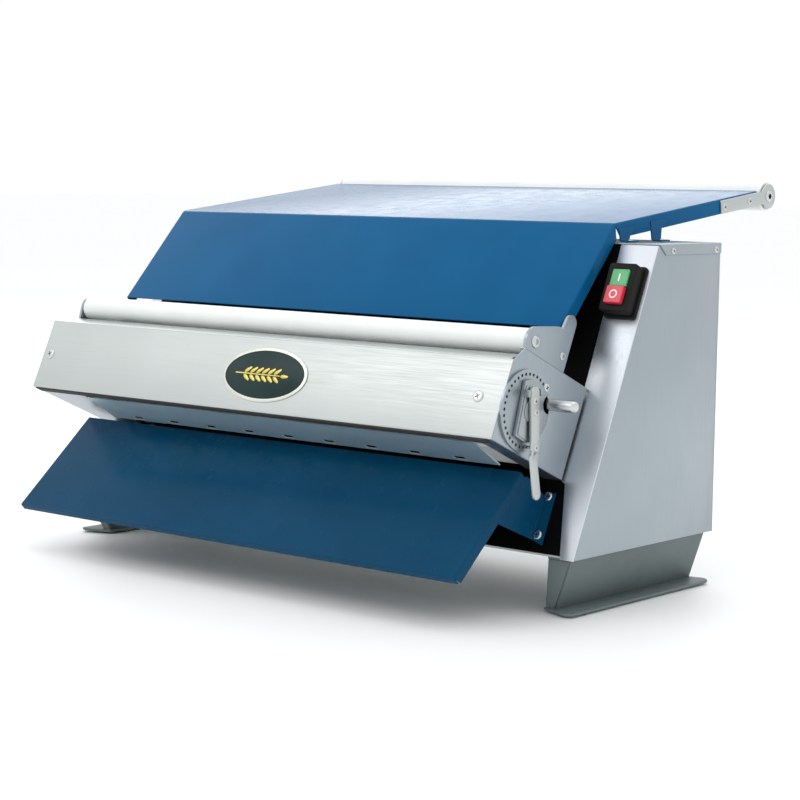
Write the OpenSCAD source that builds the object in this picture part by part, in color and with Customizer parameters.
// Electric countertop pasta sheeter: a stainless body on two folded feet, a sloped roller head,
// a feed hood with a rear roller above it and an exit tray below it.
// Modelled about its mid-plane (X = 0), then moved so that the origin is the middle of its footprint.

/* [Body] */
// Outer face of the right side cover, from the mid-plane of the head
side_x = 370; // [362:1:380]
// Outer face of the left side cover, from the mid-plane of the head
left_x = 328; // [327:0.5:332]
// Y of the body's back face, from the front end of the feet
body_rear = 240; // [225:1:260]
// Height of the body's underside
body_z0 = 60; // [55:1:70]
// Height of the body's top
body_z1 = 363; // [355:1:375]
// Y of the lower edge of the sloped face
face_y0 = -10; // [-15:1:0]
// Lean of the sloped face from the vertical, in degrees
face_angle = 24; // [22:0.5:25]
// Thickness of the cover sheets
sheet = 1.5; // [1.2:0.1:2]

/* [Feet] */
// Length of a foot's flange
foot_len = 257; // [240:1:270]
// Outer edge of a foot's flange, from the mid-plane
foot_x = 361.5; // [355:0.5:368]

/* [Roller head] */
// Depth of the head, out from the sloped face
head_depth = 128; // [124:1:134]
// Height of the head along the slope
head_h = 98; // [94:1:104]
// Distance of the head's lower edge up the sloped face
head_s = 78; // [74:1:82]
// Outer face of the head's side covers, from the mid-plane
head_x = 333; // [328:1:338]
// Diameter of the two pinch rollers
pinch_d = 52; // [50:0.5:53]
// Widest gap between the pinch rollers
gap_max = 5; // [4.6:0.1:5.5]
// Diameter of the white guide roller above the head
guide_d = 26; // [22:1:28]

/* [Hood and tray] */
// Half the width of the hood
hood_x = 316.5; // [310:0.5:320]
// Y of the bend between chute and table
bend_y = 125.5; // [122:0.5:130]
// Height of the bend
bend_z = 384; // [380:1:390]
// Slope of the chute, in degrees
chute_angle = 47.8; // [45:0.1:50]
// Rise of the table towards the back, in degrees
table_angle = 7; // [5:0.5:9]
// Length of the table from the bend to its back edge
table_len = 278; // [260:1:290]
// Diameter of the white roller behind the table
rear_d = 32; // [28:1:38]
// Half the width of the exit tray
tray_x = 317; // [310:1:320]
// Slope of the exit tray, in degrees
tray_angle = 41.8; // [38:0.1:45]

/* [Adjuster] */
// Outer radius of the index plate
index_r = 40; // [38:0.5:42]
// Number of index holes
index_count = 24; // [18:1:25]
// Angle between two index holes
index_step = 10; // [9:0.5:10]
// End of the grip rod, from the mid-plane
rod_end = 373; // [373:1:390]

/* [Hidden] */
$fn = 48;
eps = 0.01;

// sloped face: its own frame has y along the inward normal and z up the slope
face_len = (body_z1 - body_z0) / cos(face_angle);
face_top_y = face_y0 + face_len * sin(face_angle);
strip_t = sheet;                 // front strips, then the black plate behind them
strip_low = 228;                 // lower end of the left strip, up the slope
plate_t = 2;

pad_x = 347;                     // middle of the pads under the feet

// pinch rollers, in the frame of the sloped face
roller_z = head_s + 42.5;
adj_y = -(head_depth - 38);
fixed_y = adj_y + pinch_d + gap_max;
frame_l = -258;                  // outer face of the left roller frame
frame_r = 303;                   // inner face of the right roller frame
frame_t = 6;
pinch_x0 = frame_l + frame_t + 7;
pinch_x1 = frame_r - 7;
shaft_r = 10;
run_gap = 0.03;                  // radial clearance of a shaft in its bush
block_w = 40;
block_h = 34;
block_t = 11;
slide_gap = 0.3;

// guide roller and the arms that carry it
arm_x = head_x - 11;             // inner face of each arm plate
arm_t = 3;
guide_y = -92;
guide_z = 190;
boss_y = -44.6;                  // the right arm's round upper end
boss_z = 227.5;
boss_r = 8.5;

// gears
pressure = 25;
timing_z = 13;
timing_m = pinch_d / timing_z;
drive_m = 2.5;
drive_z = 30;
pinion_z = 14;
pinion_y = fixed_y + drive_m * (drive_z + pinion_z) / 2;

// adjuster, on the right side cover, on the front roller's axis
pin_r = 35.3;                    // radius of the circle of index holes
pin_angle = -87;
index_t = 2.5;
hub_r = 30.5;
rod_r = 6;
rod_y = 30;
rod_z = 4;
lever_x = head_x + index_t + 7.2;
lever_t = 3.5;
dial_y = face_y0 + roller_z * sin(face_angle) + adj_y * cos(face_angle);
dial_z = body_z0 + roller_z * cos(face_angle) - adj_y * sin(face_angle);

// hood
chute_len = 137;
hood_flange = 15;
hood_foot = 12;                  // width of the feet under its legs
table_end_y = bend_y + table_len * cos(table_angle);
table_end_z = bend_z + table_len * sin(table_angle);
rear_y = table_end_y + 22;
rear_z = table_end_z - 6;
rear_x = hood_x - 1.5;
bracket_t = 2;

// exit tray: its upper edge hangs just under the head
tray_top_y = -25;
tray_top_z = 144;
tray_len = 137;
tray_front_y = tray_top_y - tray_len * cos(tray_angle);
tray_lip = 12;

// switch, on the right front strip
switch_x = 348;
switch_z = 279;
switch_out = 18;                 // how far its box stands out
key_w = 10;                      // half the width of a key
key_h = 18.5;                    // from the middle to the far end of a key

origin_x = (rod_end - foot_x) / 2;
origin_y = (tray_front_y + rear_y + rear_d / 2) / 2;

// ---------- helpers ----------

module place() translate([-origin_x, -origin_y, 0]) children();
module on_face() translate([0, face_y0, body_z0]) rotate([-face_angle, 0, 0]) children();
module on_dial() translate([0, dial_y, dial_z]) children();
module mirror_if(left) mirror([left ? 1 : 0, 0, 0]) children();

// a flat plate whose outline lies in Y-Z, from x0 to x0 + t
module yz_plate(x0, t) translate([x0, 0, 0]) rotate([90, 0, 90]) linear_extrude(t) children();
module x_cyl(x0, x1, r) translate([x0, 0, 0]) rotate([0, 90, 0]) cylinder(r = r, h = x1 - x0);
module x_ring(x0, x1, r, bore) difference() {
    x_cyl(x0, x1, r);
    x_cyl(x0 - 1, x1 + 1, bore);
}
// an outline in X-Z, from y0 to y1
module xz_prism(y0, y1) translate([0, y1, 0]) rotate([90, 0, 0]) linear_extrude(y1 - y0) children();
// a box given by its two corners
module span(a, b) translate(a) cube(b - a);
// a domed screw head whose seat lies at z = 0 and that points along +z, with a cross recess
module screw_head(r, h) difference() {
    intersection() {
        cylinder(r = r, h = h);
        translate([0, 0, h - 1.6 * r]) sphere(r = 1.6 * r);
    }
    for (a = [0, 90]) rotate(a) translate([-r / 2, -r / 10, h * 0.55]) cube([r, r / 5, h]);
}

function pt(r, a) = [r * cos(a), r * sin(a)];
function inv_deg(a) = tan(a) * 180 / PI - a;
// half angle of a tooth at radius r
function tooth_half(z, m, bl, r) = let (rp = m * z / 2, rb = rp * cos(pressure))
    90 / z - bl / 2 / rp * 180 / PI + inv_deg(pressure) - (r <= rb ? 0 : inv_deg(acos(rb / r)));
module gear2d(z, m, bl, turn = 0) {
    rp = m * z / 2;
    rb = rp * cos(pressure);
    tip = rp + m;
    root = rp - 1.25 * m;
    steps = 4;
    flank = [for (i = [0:steps]) let (r = rb + (tip - rb) * i / steps) [r, tooth_half(z, m, bl, r)]];
    polygon([for (k = [0:z - 1]) let (a = turn + 360 / z * k) each concat(
        [pt(root, a - flank[0][1])], [for (f = flank) pt(f[0], a - f[1])],
        [for (i = [steps:-1:0]) pt(flank[i][0], a + flank[i][1])], [pt(root, a + flank[0][1])])]);
}

// ---------- feet and body ----------

module foot_rail(left) mirror_if(left) color("dimgray") {
    t = 3;
    web_top = foot_x - 1.5;
    web_bot = 333;
    rake = 15;                   // how far the ends of the web run back on their way down
    // web, leaning inwards on its way down
    intersection() {
        xz_prism(-20, foot_len) polygon([[web_bot - t, 4], [web_bot, 4], [web_top, body_z0], [web_top - t, body_z0]]);
        yz_plate(0, side_x) polygon([[rake, 4], [0, body_z0], [body_rear - 1, body_z0], [body_rear - 1 + rake, 4]]);
    }
    // gusset that closes its front end
    intersection() {
        xz_prism(-20, foot_len) polygon([[web_bot - 12, 4], [web_bot - 1, 4], [web_top - 1, body_z0 - 1], [web_top - 26, body_z0 - 1]]);
        yz_plate(0, side_x) polygon([[rake, 4], [0, body_z0], [t, body_z0], [rake + t, 4]]);
    }
    // top flange under the body
    span([left ? left_x - 32 : 332, face_y0 + 6, body_z0 - t], [web_top, body_rear - 1, body_z0]);
    // bottom flange with rounded outer corners
    translate([0, 0, 2]) linear_extrude(t) {
        polygon([[web_bot - 13, rake - 3], [foot_x - 8, 0], [foot_x, 4], [foot_x, foot_len - 12],
            [foot_x - 12, foot_len], [web_bot - 13, foot_len - 6]]);
        translate([foot_x - 12, foot_len - 12]) circle(r = 12);
    }
}
module foot_rail_left() foot_rail(true);
module foot_rail_right() foot_rail(false);

module foot_pads() color("black")
    for (s = [-1, 1], y = [30, foot_len - 30]) translate([s * pad_x, y, 0]) cylinder(r = 10, h = 2);

module base_pan() color("silver") difference() {
    span([-left_x + sheet, face_y0 + 6, body_z0], [side_x - sheet, body_rear - sheet, body_z0 + 2]);
    for (x = [-250:25:250]) span([x - 3, 110, body_z0 - 1], [x + 3, 150, body_z0 + 3]);
}

module front_plate() color([0.07, 0.07, 0.08]) on_face() difference() {
    span([-left_x + sheet, strip_t, 4], [side_x - 3.1, strip_t + plate_t, face_len - 1]);
    // window for the drive gear
    span([-285, 0, roller_z - 42], [-259, 5, roller_z + 42]);
    switch_window();
}
module switch_window() span([switch_x - key_w - 1, -1, switch_z - key_h - 2], [switch_x + key_w + 1, 6, switch_z + key_h + 2]);

module front_strip_left() color("silver") on_face()
    span([-left_x, 0, strip_low], [-left_x + 16, strip_t, face_len]);
module front_strip_right() color("silver") on_face() difference() {
    rotate([90, 0, 0]) translate([0, 0, -strip_t]) linear_extrude(strip_t)
        polygon([[354, 0], [side_x, 0], [side_x, face_len], [325, face_len], [327, 230], [328, 190], [328, 80], [336, 76]]);
    switch_window();
}

// distance of an end of the body from the mid-plane
function end_x(left) = left ? left_x : side_x;
function side_outline(inset = 0) = [[face_y0 + inset * 1.3 + sheet / cos(face_angle), body_z0 + inset],
    [body_rear - inset, body_z0 + inset], [body_rear - inset, body_z1 - inset],
    [face_top_y + inset + sheet / cos(face_angle), body_z1 - inset]];

module side_cover(left) mirror_if(left) color([0.7, 0.74, 0.77])
    yz_plate(end_x(left) - sheet, sheet) polygon(side_outline());
module side_cover_left() side_cover(true);
module side_cover_right() side_cover(false);

module side_frame(left) mirror_if(left) color([0.45, 0.47, 0.5]) yz_plate(end_x(left) - 6, 3) difference() {
    polygon(side_outline(10));
    polygon(side_outline(38));
}
module side_frame_left() side_frame(true);
module side_frame_right() side_frame(false);

module tie_bars() color([0.6, 0.6, 0.62])
    for (p = [[body_rear - 24, 84], [body_rear - 24, 338], [150, 338]]) translate([0, p[0], p[1]])
        x_cyl(-left_x + 6, side_x - 6, 7);

module top_cover() color("silver") {
    z = body_z1;
    span([-left_x, face_top_y + 1, z], [side_x, body_rear + 1.5, z + sheet]);
    for (x = [-left_x - 1.2, side_x]) yz_plate(x, 1.2)
        polygon([[face_top_y + 2, z + sheet], [face_top_y + 14, z - 9.5], [body_rear, z - 9.5], [body_rear, z + sheet]]);
}

module rear_cover() color("silver") difference() {
    span([-left_x, body_rear, body_z0], [side_x, body_rear + 1.5, body_z1]);
    for (x = [-90:15:90]) span([x - 2.5, body_rear - 1, 250], [x + 2.5, body_rear + 3, 290]);
    translate([220, body_rear - 1, 95]) rotate([-90, 0, 0]) cylinder(r = 8, h = 4);
}

module cover_screws() color("gainsboro") {
    for (s = [-1, 1], y = [151, 232]) translate([s * (end_x(s < 0) + 1.2), y, body_z1 - 5.7]) rotate([0, s * 90, 0]) screw_head(3.4, 1.8);
    for (x = [-308, -90, 130, 350], z = [80, 345]) translate([x, body_rear + 1.5, z]) rotate([-90, 0, 0]) screw_head(3.4, 1.8);
}

module cable_gland() color([0.1, 0.1, 0.1]) translate([220, body_rear, 95]) rotate([-90, 0, 0]) difference() {
    union() {
        translate([0, 0, -8]) cylinder(r = 8, h = 12);
        translate([0, 0, 1.5]) cylinder(r = 12, h = 6, $fn = 6);
        translate([0, 0, 7.5]) cylinder(r1 = 10, r2 = 7.5, h = 12);
    }
    translate([0, 0, -20]) cylinder(r = 4, h = 60);
}

// ---------- hood ----------

// one straight length of hood: a sheet with a folded flange at each side
module hood_panel(len, flange, a, b) {
    translate([-hood_x, 0, -sheet]) cube([2 * hood_x, len, sheet]);
    for (s = [-1, 1]) yz_plate(s > 0 ? hood_x - sheet : -hood_x, sheet)
        polygon([[a, -sheet / 2], [len - b, -sheet / 2], [len - b - 2, -flange], [a + 6, -flange]]);
}

module feed_hood() color([0.07, 0.36, 0.6]) {
    translate([0, bend_y, bend_z]) {
        rotate([table_angle, 0, 0]) hood_panel(table_len, hood_flange + 1, 5, 0);
        rotate([chute_angle, 0, 0]) mirror([0, 1, 0]) hood_panel(chute_len, hood_flange - 1, 3, 0);
    }
    // legs down to the top cover, each with a foot turned outwards
    for (s = [-1, 1], y = [134, 192]) {
        yz_plate(s > 0 ? hood_x - sheet : -hood_x, sheet)
            polygon([[y, body_z1 + sheet], [y + 17, body_z1 + sheet], [y + 18, table_z(y + 18) - 14],
                [y + 30, table_z(y + 30) - 8], [y - 2, table_z(y - 2) - 8]]);
        span([s > 0 ? hood_x - sheet : -hood_x - hood_foot, y, body_z1 + sheet],
            [s > 0 ? hood_x + hood_foot : -hood_x + sheet, y + 18, body_z1 + 2 * sheet + 0.5]);
    }
}
function table_z(y) = bend_z + (y - bend_y) * tan(table_angle);

module hood_screws() color("gainsboro")
    for (s = [-1, 1], y = [143, 201]) translate([s * (hood_x + 6.5), y, body_z1 + 2 * sheet + 0.5]) screw_head(3.6, 2);

module roller_bracket(left) mirror_if(left) color("silver")
    translate([0, bend_y, bend_z]) rotate([table_angle, 0, 0]) {
        back = table_len - 79;
        yz_plate(hood_x, bracket_t) difference() {
            union() {
                translate([back, -16.5]) square([bracket_reach() - back, 15.5]);
                translate([bracket_reach(), bracket_drop()]) circle(r = 14);
            }
            translate([bracket_reach(), bracket_drop()]) circle(r = 5);
        }
    }
// the rear roller's axis in the table's own frame
function bracket_reach() = (rear_y - bend_y) * cos(table_angle) + (rear_z - bend_z) * sin(table_angle);
function bracket_drop() = (rear_z - bend_z) * cos(table_angle) - (rear_y - bend_y) * sin(table_angle);
module roller_bracket_left() roller_bracket(true);
module roller_bracket_right() roller_bracket(false);

module bracket_screws() color("gainsboro") translate([0, bend_y, bend_z]) rotate([table_angle, 0, 0])
    for (s = [-1, 1], y = [table_len - 72, table_len - 20]) translate([s * (hood_x + bracket_t), y, -9])
        rotate([0, s * 90, 0]) screw_head(4, 2.2);

module rear_axle() color("gainsboro") translate([0, rear_y, rear_z]) {
    x_cyl(-hood_x - bracket_t, hood_x + bracket_t, 5);
    for (s = [-1, 1]) translate([s * (hood_x + bracket_t), 0, 0]) rotate([0, s * 90, 0]) screw_head(6.5, 3);
}
module rear_roller() color([0.93, 0.94, 0.93]) translate([0, rear_y, rear_z])
    x_ring(-rear_x, rear_x, rear_d / 2, 5.05);

// ---------- roller head ----------

module head_front_cover() color("silver") on_face() {
    y = -head_depth;
    lip_x = head_x - sheet - 0.2;
    difference() {
        union() {
            span([-head_x, y, head_s], [head_x, y + sheet, head_s + 82]);
            // folded lips along the bottom and the top
            span([-lip_x, y, head_s], [lip_x, y + 9, head_s + sheet]);
            span([-lip_x, y, head_s + 82 - sheet], [lip_x, y + 8, head_s + 82]);
        }
        for (x = [-321, 304]) translate([x, y - 1, head_s + 41]) rotate([-90, 0, 0]) cylinder(r = 2.5, h = 3);
    }
}

module head_top_cover() color([0.86, 0.89, 0.9]) on_face() yz_plate(-arm_x + 0.5, 2 * arm_x - 1)
    polygon([[-head_depth + 9, head_s + 76], [-head_depth + 10.5, head_s + 76], [-head_depth + 10.5, head_s + 83],
        [guide_y - 11, guide_z - 18.5], [guide_y - 11, guide_z - 17], [-head_depth + 9, head_s + 84.6]]);

// pierced by the dial's spindle on the right
module head_side_cover(left) mirror_if(left) color([0.7, 0.74, 0.77]) on_face() difference() {
    union() {
        yz_plate(head_x - sheet, sheet) polygon([[-head_depth + 0.1 + sheet, head_s], [-2, head_s],
            [-2, head_s + head_h], [-head_depth + (left ? 52 : 14), head_s + head_h],
            [-head_depth + sheet + 0.1, head_s + (left ? 82 : 84)]]);
        // folded lips below and above
        span([left ? 1 - frame_l : head_x - 24, -head_depth + 10, head_s], [head_x - sheet / 2, -2, head_s + sheet]);
        span([arm_x + arm_t + 0.2, -head_depth + (left ? 54 : 16), head_s + head_h - sheet], [head_x - sheet / 2, -2, head_s + head_h]);
    }
    if (!left) translate([0, adj_y, roller_z]) x_cyl(head_x - 5, head_x + 2, 9);
}
module head_side_cover_left() head_side_cover(true);
module head_side_cover_right() head_side_cover(false);

// lids over the gears on the left and the linkage on the right
module end_lids() color("silver") on_face() for (x = [[-arm_x, frame_l - 1], [frame_r + frame_t, arm_x]])
    span([x[0], guide_y - 8, head_s + head_h - 4], [x[1], -2, head_s + head_h - 4 + sheet]);

module head_screws() color("gainsboro") {
    on_face() for (x = [-321, 304]) translate([x, -head_depth, head_s + 41]) rotate([90, 0, 0]) {
        screw_head(6, 3);
        translate([0, 0, -8]) cylinder(r = 2.5, h = 8 + eps);
    }
    on_face() translate([arm_x + arm_t, -44, 193]) rotate([0, 90, 0]) screw_head(4.5, 2);
    on_dial() translate([head_x + index_t, 31, 20]) rotate([0, 90, 0]) screw_head(4.5, 3);
}

module badge() color([0.1, 0.2, 0.19]) on_face() translate([21, -head_depth, head_s + 41]) rotate([90, 0, 0])
    linear_extrude(1) resize([120, 60]) circle(r = 60, $fn = 96);

module arm(left) mirror_if(left) color([0.78, 0.81, 0.84]) on_face() difference() {
    yz_plate(arm_x, arm_t) {
        hull() {
            translate([guide_y, guide_z]) circle(r = left ? 12 : 15);
            translate([-100, head_s + 80]) square([40, 10]);
        }
        // the right arm runs on up to a round end
        if (!left) hull() {
            translate([boss_y, boss_z]) circle(r = boss_r);
            translate([-50, 176]) circle(r = 14);
        }
        if (!left) hull() {
            translate([guide_y, guide_z]) circle(r = 15);
            translate([-59, 206]) circle(r = 12);
            translate([-56, 180]) circle(r = 12);
        }
        polygon([[-108, head_s + 6], [-34, head_s + 6], [-34, 174], [-80, 180], [-100, 190]]);
        translate([-36, head_s + 6]) square([36 + strip_t, head_h - 16]);
    }
    // bores for the guide roller's axle and for the front shaft
    translate([0, guide_y, guide_z]) x_cyl(arm_x - 1, arm_x + arm_t + 1, 5);
    translate([0, adj_y, roller_z]) x_cyl(arm_x - 1, arm_x + arm_t + 1, 13);
}
module arm_left() arm(true);
module arm_right() arm(false);

module guide_axle() color("gainsboro") on_face() translate([0, guide_y, guide_z]) {
    x_cyl(-arm_x - arm_t, arm_x + arm_t, 5);
    for (s = [-1, 1]) translate([s * (arm_x + arm_t), 0, 0]) rotate([0, s * 90, 0]) screw_head(6.5, 3);
}
module guide_roller() color([0.93, 0.94, 0.93]) on_face() translate([0, guide_y, guide_z])
    x_ring(-arm_x + 1, arm_x - 1, guide_d / 2, 5.05);

module roller_frame(x0) color([0.55, 0.57, 0.6]) on_face() difference() {
    union() {
        yz_plate(x0, frame_t) polygon([[-head_depth + 16, head_s + 4], [-1, head_s + 4], [-1, head_s + head_h - 6],
            [-head_depth + 32, head_s + head_h - 6], [-head_depth + 16, head_s + head_h - 22]]);
        // foot that bolts to the black plate
        span([x0 < 0 ? x0 - 2 : x0, -5, head_s + 8], [x0 < 0 ? x0 + frame_t + 12 : x0 + frame_t + 6, strip_t, head_s + 24]);
    }
    translate([0, fixed_y, roller_z]) x_cyl(x0 - 3, x0 + frame_t + 3, 15);
    span([x0 - 1, adj_y - block_w / 2 - slide_gap, roller_z - block_h / 2 - slide_gap],
        [x0 + frame_t + 1, adj_y + block_w / 2 + slide_gap + gap_max, roller_z + block_h / 2 + slide_gap]);
}
module roller_frame_left() roller_frame(frame_l);
module roller_frame_right() roller_frame(frame_r);

module fixed_bushes() color([0.72, 0.55, 0.25]) on_face() translate([0, fixed_y, roller_z])
    for (x0 = [frame_l, frame_r]) {
        x_ring(x0, x0 + frame_t, 15, shaft_r + run_gap);
        x_ring(x0 < 0 ? x0 + frame_t : x0 - 4, x0 < 0 ? x0 + frame_t + 4 : x0, 18, shaft_r + run_gap);
    }

// slotted guard under the front roller
module lower_guard() color([0.8, 0.84, 0.86]) on_face() translate([0, -head_depth + 11, head_s + 0.5]) rotate([-8, 0, 0]) difference() {
    span([frame_l + frame_t, 3, -sheet], [frame_r, 52, 0]);
    for (k = [-4:4]) span([25 + 58 * k - 8, 42, -5], [25 + 58 * k + 8, 50, 5]);
}

module scrapers() color([0.85, 0.86, 0.85]) on_face() for (y = [adj_y - 2, fixed_y + 2])
    span([frame_l + frame_t, y - 2, head_s + 5], [frame_r, y + 2, roller_z - pinch_d / 2 - 0.4]);

module pinch_roller(tail) {
    x_cyl(pinch_x0, pinch_x1, pinch_d / 2);
    x_cyl(tail, frame_r + frame_t + 3, shaft_r);
}
module fixed_roller() color([0.9, 0.91, 0.9]) on_face() translate([0, fixed_y, roller_z]) pinch_roller(-308);
module adjustable_roller() color([0.9, 0.91, 0.9]) on_face() translate([0, adj_y, roller_z]) pinch_roller(-308);

module gear(x0, w, z, m, bl, turn) difference() {
    union() {
        yz_plate(x0, w) gear2d(z, m, bl, turn);
        x_cyl(x0 - 2, x0 + w, z * m * 0.3);
    }
    x_cyl(x0 - 5, x0 + w + 5, shaft_r);
}
module drive_gear() color([0.6, 0.6, 0.55]) on_face() translate([0, fixed_y, roller_z])
    gear(-279, 14, drive_z, drive_m, 0.2, 0);
module fixed_timing_gear() color([0.5, 0.5, 0.45]) on_face() translate([0, fixed_y, roller_z])
    gear(-304, 18, timing_z, timing_m, 0.3, 0);
module adjustable_timing_gear() color([0.5, 0.5, 0.45]) on_face() translate([0, adj_y, roller_z])
    gear(-304, 18, timing_z, timing_m, 0.3, 0);
module drive_pinion() color([0.5, 0.5, 0.45]) on_face() translate([0, pinion_y, roller_z]) {
    yz_plate(-280, 16) gear2d(pinion_z, drive_m, 0.2, 180 / pinion_z);
    x_cyl(-284, -206, 8);
}

module bearing_blocks() color([0.72, 0.55, 0.25]) on_face() for (x0 = [frame_l - 2, frame_r - 2]) difference() {
    span([x0, adj_y - block_w / 2, roller_z - block_h / 2], [x0 + block_t - 1, adj_y + block_w / 2, roller_z + block_h / 2]);
    translate([0, adj_y, roller_z]) x_cyl(x0 - 1, x0 + block_t + 1, shaft_r + run_gap);
}

// ---------- adjuster ----------

module index_plate() color([0.6, 0.63, 0.66]) on_dial() yz_plate(head_x, index_t) difference() {
    circle(r = index_r);
    circle(r = 10);
    for (k = [0:index_count - 1]) rotate(pin_angle - index_step * k) translate([pin_r, 0]) circle(r = 1.6, $fn = 16);
}

module adjuster_hub() color([0.75, 0.78, 0.8]) on_dial() {
    x0 = head_x + index_t + 0.3;
    yz_plate(x0, 4) difference() {
        union() {
            intersection() {
                circle(r = hub_r);
                translate([-8, -40]) square(80);
            }
            // the pointer's fan
            polygon([[-8, 28], [-22, -22], [-8, -30], [4, -30], [4, 28]]);
            translate([rod_y, rod_z]) circle(r = 10);
        }
    }
    x_cyl(x0 + 4, x0 + 6.6, 11);
    x_cyl(arm_x - 8, x0 + 1, 8);
    x_cyl(arm_x - 8, arm_x - 3, 11);
    // ears that hold the index lever's hinge pin
    difference() {
        for (y = [-11, 7.5]) span([x0 + 3, y, 14.5], [lever_x + lever_t + 0.5, y + 3.5, 21.5]);
        lever_hinge(1.45);
    }
}
module lever_hinge(r) translate([lever_x + lever_t / 2, -11, 18]) rotate([-90, 0, 0]) cylinder(r = r, h = 22);
module grip_rod() color([0.72, 0.73, 0.74]) on_dial() translate([head_x + index_t + 4.3, rod_y, rod_z]) difference() {
    rotate([0, 90, 0]) union() {
        cylinder(r = rod_r, h = rod_end - head_x - index_t - 6.3);
        translate([0, 0, rod_end - head_x - index_t - 6.3]) cylinder(r1 = rod_r, r2 = rod_r - 2, h = 2);
    }
}

// bar and paddle, pivoted near the top of the hub
module index_lever() color([0.82, 0.84, 0.85]) on_dial() {
    yz_plate(lever_x, lever_t) {
        hull() {
            translate([0, 18]) circle(r = 6.5);
            translate([2, -36]) circle(r = 6);
        }
        hull() {
            translate([-0.5, -42]) circle(r = 5);
            translate([6, -81]) circle(r = 5.5);
        }
        translate([-4, -44]) square([10, 10]);
    }
    lever_hinge(1.4);
}
module index_pin() color("gainsboro") on_dial() {
    translate([0, pin_r * cos(pin_angle), pin_r * sin(pin_angle)]) {
        x_cyl(head_x + index_t + 0.4, lever_x, 1.4);
        translate([lever_x + lever_t, 0, 0]) rotate([0, 90, 0]) screw_head(3.6, 2.2);
    }
    for (p = [[-0.5, 10], [1, -1]]) translate([lever_x + lever_t, p[0], p[1]]) rotate([0, 90, 0]) screw_head(3.6, 2.2);
}

// ---------- tray ----------

module exit_tray() color([0.07, 0.36, 0.6]) {
    translate([0, tray_top_y, tray_top_z]) rotate([tray_angle, 0, 0]) {
        span([-tray_x, -tray_len, -sheet], [tray_x, 0, 0]);
        for (s = [-1, 1]) yz_plate(s > 0 ? tray_x - sheet : -tray_x, sheet)
            polygon([[-tray_len, -sheet / 2], [0, -sheet / 2], [0, -tray_lip], [-tray_len + 4, -tray_lip]]);
    }
}
// cheeks back to the body, each with a flange on the black plate
module tray_cheeks() color([0.07, 0.36, 0.6]) for (s = [-1, 1]) {
    yz_plate(s > 0 ? tray_x - 2 * sheet : -tray_x + sheet, sheet)
        polygon([[-60, 108], [-58, 96], [face_at(74), 74], [face_at(116), 116], [-14, 138], [-28, 138]]);
    on_face() span([s > 0 ? tray_x - 2 * sheet : -tray_x - 10, 0, 11],
        [s > 0 ? tray_x + 10 : -tray_x + 2 * sheet, sheet, 72]);
}
function face_at(z) = face_y0 + (z - body_z0) * tan(face_angle);

module tray_bolts() color("gainsboro") on_face() for (s = [-1, 1], z = [21, 61])
    translate([s * (tray_x + 4), 0, z]) rotate([90, 0, 0]) screw_head(5, 4);

// ---------- drive ----------

module motor() color([0.3, 0.32, 0.35]) on_face() translate([0, 62, roller_z]) {
    x_cyl(-130, 80, 52);
    for (a = [0:20:340]) rotate([a, 0, 0]) translate([-110, -1.5, 50]) cube([150, 3, 6]);
    x_cyl(80, 96, 46);
}
module gearbox() color([0.5, 0.52, 0.54]) on_face() difference() {
    span([-214, 5, roller_z - 45], [-130, 110, roller_z + 45]);
    translate([0, pinion_y, roller_z]) x_cyl(-215, -205, 8.03);
}
module motor_bracket() color([0.4, 0.4, 0.42]) {
    span([-120, 60, body_z0 + 2], [70, 150, body_z0 + 5]);
    for (x = [-116, 60]) difference() {
        span([x, 70, body_z0 + 5], [x + 5, 140, 130]);
        on_face() translate([0, 62, roller_z]) x_cyl(x - 1, x + 6, 52.02);
    }
}

// ---------- switch ----------

module switch_housing() color([0.1, 0.1, 0.09]) on_face() difference() {
    union() {
        span([switch_x - 19, -4, switch_z - 28], [switch_x + 19, 0, switch_z + 28]);
        span([switch_x - 16.5, -switch_out, switch_z - 25.5], [switch_x + 16.5, 0, switch_z + 25.5]);
        span([switch_x - key_w - 0.5, -1, switch_z - key_h - 1.5], [switch_x + key_w + 0.5, 24, switch_z + key_h + 1.5]);
    }
    span([switch_x - key_w - 0.3, -switch_out - 1, switch_z - key_h - 0.3], [switch_x + key_w + 0.3, -4, switch_z + key_h + 0.3]);
}
module push_button(z0, z1, out) on_face()
    span([switch_x - key_w, -switch_out - out, z0], [switch_x + key_w, -8, z1]);
module start_button() color([0.2, 0.65, 0.4]) push_button(switch_z + 0.3, switch_z + key_h, 2);
module stop_button() color([0.84, 0.2, 0.28]) push_button(switch_z - key_h, switch_z - 0.3, 5);

// ---------- assembly ----------

place() foot_rail_left();
place() foot_rail_right();
place() foot_pads();
place() base_pan();
place() front_plate();
place() front_strip_left();
place() front_strip_right();
place() side_cover_left();
place() side_cover_right();
place() top_cover();
place() rear_cover();
place() cover_screws();
place() side_frame_left();
place() side_frame_right();
place() tie_bars();
place() feed_hood();
place() hood_screws();
place() roller_bracket_left();
place() roller_bracket_right();
place() bracket_screws();
place() rear_axle();
place() rear_roller();
place() head_front_cover();
place() head_top_cover();
place() head_side_cover_left();
place() head_side_cover_right();
place() end_lids();
place() head_screws();
place() badge();
place() arm_left();
place() arm_right();
place() guide_axle();
place() guide_roller();
place() roller_frame_left();
place() roller_frame_right();
place() fixed_bushes();
place() lower_guard();
place() scrapers();
place() fixed_roller();
place() drive_gear();
place() fixed_timing_gear();
place() drive_pinion();
place() bearing_blocks();
place() adjustable_roller();
place() adjustable_timing_gear();
place() index_plate();
place() adjuster_hub();
place() grip_rod();
place() index_lever();
place() index_pin();
place() exit_tray();
place() tray_cheeks();
place() tray_bolts();
place() motor();
place() gearbox();
place() motor_bracket();
place() switch_housing();
place() start_button();
place() stop_button();
place() cable_gland();
